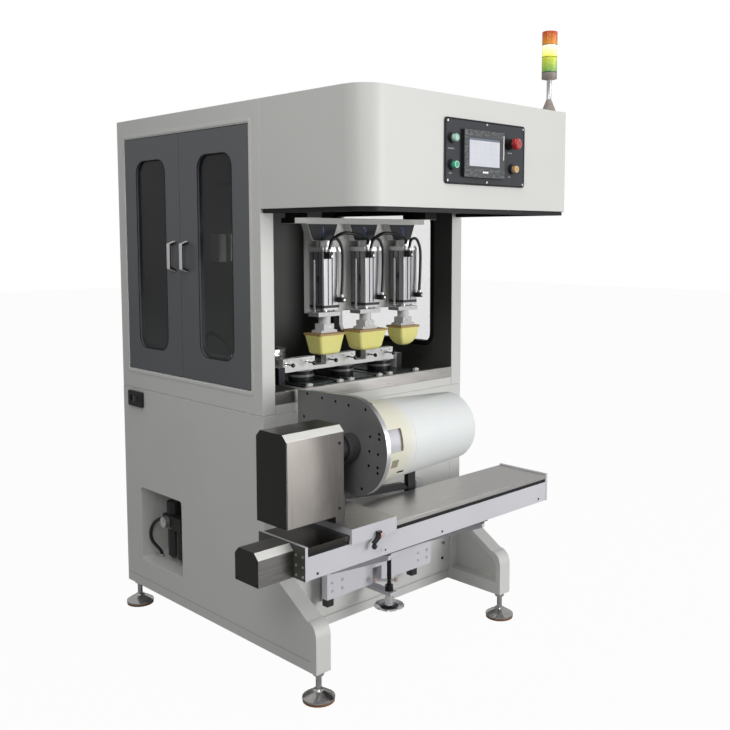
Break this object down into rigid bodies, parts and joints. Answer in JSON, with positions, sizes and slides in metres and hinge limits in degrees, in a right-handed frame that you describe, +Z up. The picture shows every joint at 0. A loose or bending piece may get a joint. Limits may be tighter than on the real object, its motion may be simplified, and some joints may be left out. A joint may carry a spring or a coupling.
{
  "type": "pad printing machine",
  "caption": "Floor-standing pad printing machine: cabinet with a hood over sliding silicone pads, ink trays, side doors, control panel, and a drum jig on a cross slide.",
  "frame": {"origin": "on the floor, under the middle of the whole machine's box", "axes": "+X to the machine's right seen from its front, +Y from the front to the back, +Z up"},
  "size_m": [1.2543, 1.3694, 2.056],
  "materials": {
    "white_paint": "fine satin powder coat",
    "dark_paint": "dark grey satin powder coat",
    "stainless": "brushed stainless sheet",
    "silver": "satin anodised aluminium",
    "machined": "machined aluminium",
    "black_plate": "black anodised plate",
    "black_plastic": "matt black",
    "black_rubber": "matt rubber",
    "clear_pane": "clear pane in a rubber rim",
    "dark_pane": "smoked pane",
    "chrome": "polished",
    "foot": "black foot with a steel stem",
    "cream_plastic": "pale moulded plastic",
    "white_plastic": "white moulded plastic",
    "silicone": "soft yellow silicone",
    "screen": "black bezel with a pale display",
    "green": "green push button",
    "pale_green": "pale green push button",
    "amber": "amber push button",
    "red": "red mushroom",
    "lamps": "red, amber and green lamps"
  },
  "bodies": {
    "cabinet": {"left_side_frame": "white_paint", "right_side_frame": "white_paint", "base_front": "white_paint", "upper_cabinet": "white_paint", "right_window": "clear_pane", "hood": "white_paint", "hood_frame": "black_plate", "work_deck": "black_plate", "sill_plate": "stainless", "mains_inlet": "black_plastic", "alcove_box": "white_paint", "air_unit": "black_plastic", "air_hose": "black_plastic", "levelling_foot_1": "foot", "levelling_foot_2": "foot", "levelling_foot_3": "foot", "levelling_foot_4": "foot", "control_panel": "dark_paint", "touch_screen": "screen", "signal_tower": "lamps", "knee_guides": "machined"},
    "front_door": {"door_front": "dark_paint", "door_front_pane": "dark_pane", "door_front_handle": "black_plastic"},
    "rear_door": {"door_rear": "dark_paint", "door_rear_pane": "dark_pane", "door_rear_handle": "black_plastic"},
    "pad_slider": {"pad_carriage": "white_paint", "pad_cylinder_1": "machined", "pad_cylinder_2": "machined", "pad_cylinder_3": "machined", "pad_hose_1": "black_plastic", "pad_hose_2": "black_plastic", "pad_hose_3": "black_plastic"},
    "pad_plunger_1": {"pad_rod_1": "machined", "pad_1": "silicone"},
    "pad_plunger_2": {"pad_rod_2": "machined", "pad_2": "silicone"},
    "pad_plunger_3": {"pad_rod_3": "machined", "pad_3": "silicone"},
    "ink_slider": {"ink_carriage": "white_paint"},
    "lift": {"knee": "silver", "slide_channel": "silver", "slide_cover": "stainless", "motor_cover": "stainless"},
    "drive_spindle": {"slide_screw": "machined"},
    "work_slider": {"saddle": "silver", "headstock": "black_plate", "drive_cover": "stainless", "jig_faceplate": "black_plate"},
    "jig": {"jig_drum": "cream_plastic", "drum_sleeve": "white_plastic"},
    "lever": {"clamp_lever": "black_plastic"},
    "jack": {"jack_screw": "chrome"},
    "start_cap": {"start_button": "pale_green"},
    "run_cap": {"run_button": "green"},
    "reset_cap": {"reset_button": "amber"},
    "stop_cap": {"emergency_stop": "red"},
    "regulator_cap": {"regulator_knob": "black_plastic"},
    "rocker": {"mains_rocker": "red"}
  },
  "joints": [
    {"name": "front_door_hinge", "type": "hinge", "parent": "cabinet", "child": "front_door", "pos_m": [-0.38085, -0.11935, 0.907], "axis": [0, 0, 1], "range_deg": [0, 110]},
    {"name": "rear_door_hinge", "type": "hinge", "parent": "cabinet", "child": "rear_door", "pos_m": [-0.38085, 0.60565, 0.907], "axis": [0, 0, 1], "range_deg": [-110, 0]},
    {"name": "pad_slide", "type": "slide", "parent": "cabinet", "child": "pad_slider", "axis": [0, 1, 0], "range_m": [-0.297, 0]},
    {"name": "pad_1_stroke", "type": "slide", "parent": "pad_slider", "child": "pad_plunger_1", "axis": [0, 0, 1], "range_m": [-0.095, 0]},
    {"name": "pad_2_stroke", "type": "slide", "parent": "pad_slider", "child": "pad_plunger_2", "axis": [0, 0, 1], "range_m": [-0.095, 0]},
    {"name": "pad_3_stroke", "type": "slide", "parent": "pad_slider", "child": "pad_plunger_3", "axis": [0, 0, 1], "range_m": [-0.095, 0]},
    {"name": "ink_slide", "type": "slide", "parent": "cabinet", "child": "ink_slider", "axis": [0, 1, 0], "range_m": [0, 0.15]},
    {"name": "knee_lift", "type": "slide", "parent": "cabinet", "child": "lift", "axis": [0, 0, 1], "range_m": [-0.06, 0.01]},
    {"name": "work_slide", "type": "slide", "parent": "lift", "child": "work_slider", "axis": [1, 0, 0], "range_m": [-0.12, 0.42]},
    {"name": "screw_spin", "type": "hinge", "parent": "lift", "child": "drive_spindle", "pos_m": [0.01315, -0.41985, 0.459], "axis": [1, 0, 0], "continuous": true},
    {"name": "jig_spin", "type": "hinge", "parent": "work_slider", "child": "jig", "pos_m": [-0.18685, -0.45135, 0.768], "axis": [1, 0, 0], "continuous": true},
    {"name": "lever_turn", "type": "hinge", "parent": "work_slider", "child": "lever", "pos_m": [-0.23685, -0.53565, 0.516], "axis": [0, 1, 0], "range_deg": [-30, 30]},
    {"name": "jack_spin", "type": "hinge", "parent": "cabinet", "child": "jack", "pos_m": [0.04315, -0.30235, 0.2], "axis": [0, 0, 1], "continuous": true},
    {"name": "start_press", "type": "slide", "parent": "cabinet", "child": "start_cap", "axis": [0, 1, 0], "range_m": [0, 0.003], "stiffness_N_per_m": 400},
    {"name": "run_press", "type": "slide", "parent": "cabinet", "child": "run_cap", "axis": [0, 1, 0], "range_m": [0, 0.003], "stiffness_N_per_m": 400},
    {"name": "reset_press", "type": "slide", "parent": "cabinet", "child": "reset_cap", "axis": [0, 1, 0], "range_m": [0, 0.003], "stiffness_N_per_m": 400},
    {"name": "stop_press", "type": "slide", "parent": "cabinet", "child": "stop_cap", "axis": [0, 1, 0], "range_m": [0, 0.004], "stiffness_N_per_m": 400},
    {"name": "regulator_turn", "type": "hinge", "parent": "cabinet", "child": "regulator_cap", "pos_m": [-0.31685, 0.44965, 0.4], "axis": [0, 0, 1], "range_deg": [-150, 150]},
    {"name": "rocker_tilt", "type": "hinge", "parent": "cabinet", "child": "rocker", "pos_m": [-0.39235, 0.54465, 0.796], "axis": [0, 1, 0], "range_deg": [-10, 10]}
  ],
  "couplings": [
    {"joint": "screw_spin", "follows": "work_slide", "rad_per_m": 314.16},
    {"joint": "jack_spin", "follows": "knee_lift", "rad_per_m": 628.32}
  ]
}
